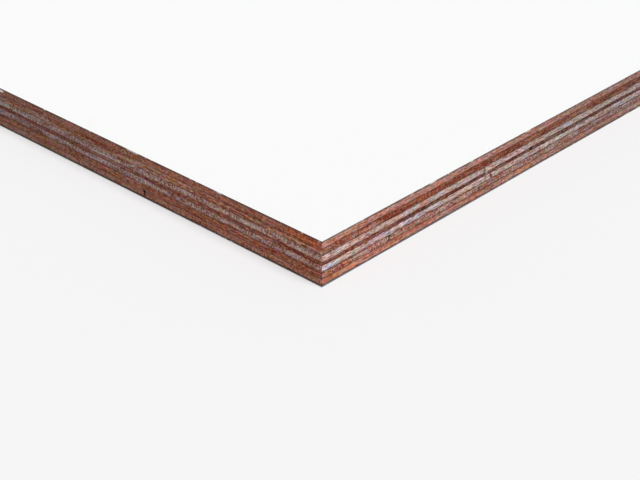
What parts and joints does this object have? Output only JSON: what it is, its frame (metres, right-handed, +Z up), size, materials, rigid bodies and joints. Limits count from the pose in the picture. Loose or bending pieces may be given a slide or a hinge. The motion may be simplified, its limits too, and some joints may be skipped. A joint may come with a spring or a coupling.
{
  "type": "plywood sheet",
  "caption": "Full flat sheet of film-faced hardwood plywood, with crossed red-brown and pale veneers bare at its sawn edges and a white film on both faces.",
  "frame": {"origin": "middle of the underside, on the surface that the sheet lies on", "axes": "+X along the length and the grain of the face veneers, +Y along the width, +Z up through the layers"},
  "size_m": [2.44, 1.22, 0.018],
  "materials": {
    "white_film": "satin white overlay with a dark sawn edge",
    "face_veneer": "sawn, bare pinkish red-brown hardwood",
    "crossband_veneer": "sawn, bare dark red-brown hardwood",
    "inner_veneer": "sawn, bare pale pinkish-grey hardwood",
    "centre_veneer": "sawn, bare very dark red-brown hardwood"
  },
  "bodies": {
    "root": {"bottom_film": "white_film", "bottom_face_veneer": "face_veneer", "lower_crossband_veneer": "crossband_veneer", "lower_inner_veneer": "inner_veneer", "centre_crossband_veneer": "centre_veneer", "upper_inner_veneer": "inner_veneer", "upper_crossband_veneer": "crossband_veneer", "top_face_veneer": "face_veneer", "top_film": "white_film"}
  },
  "joints": []
}
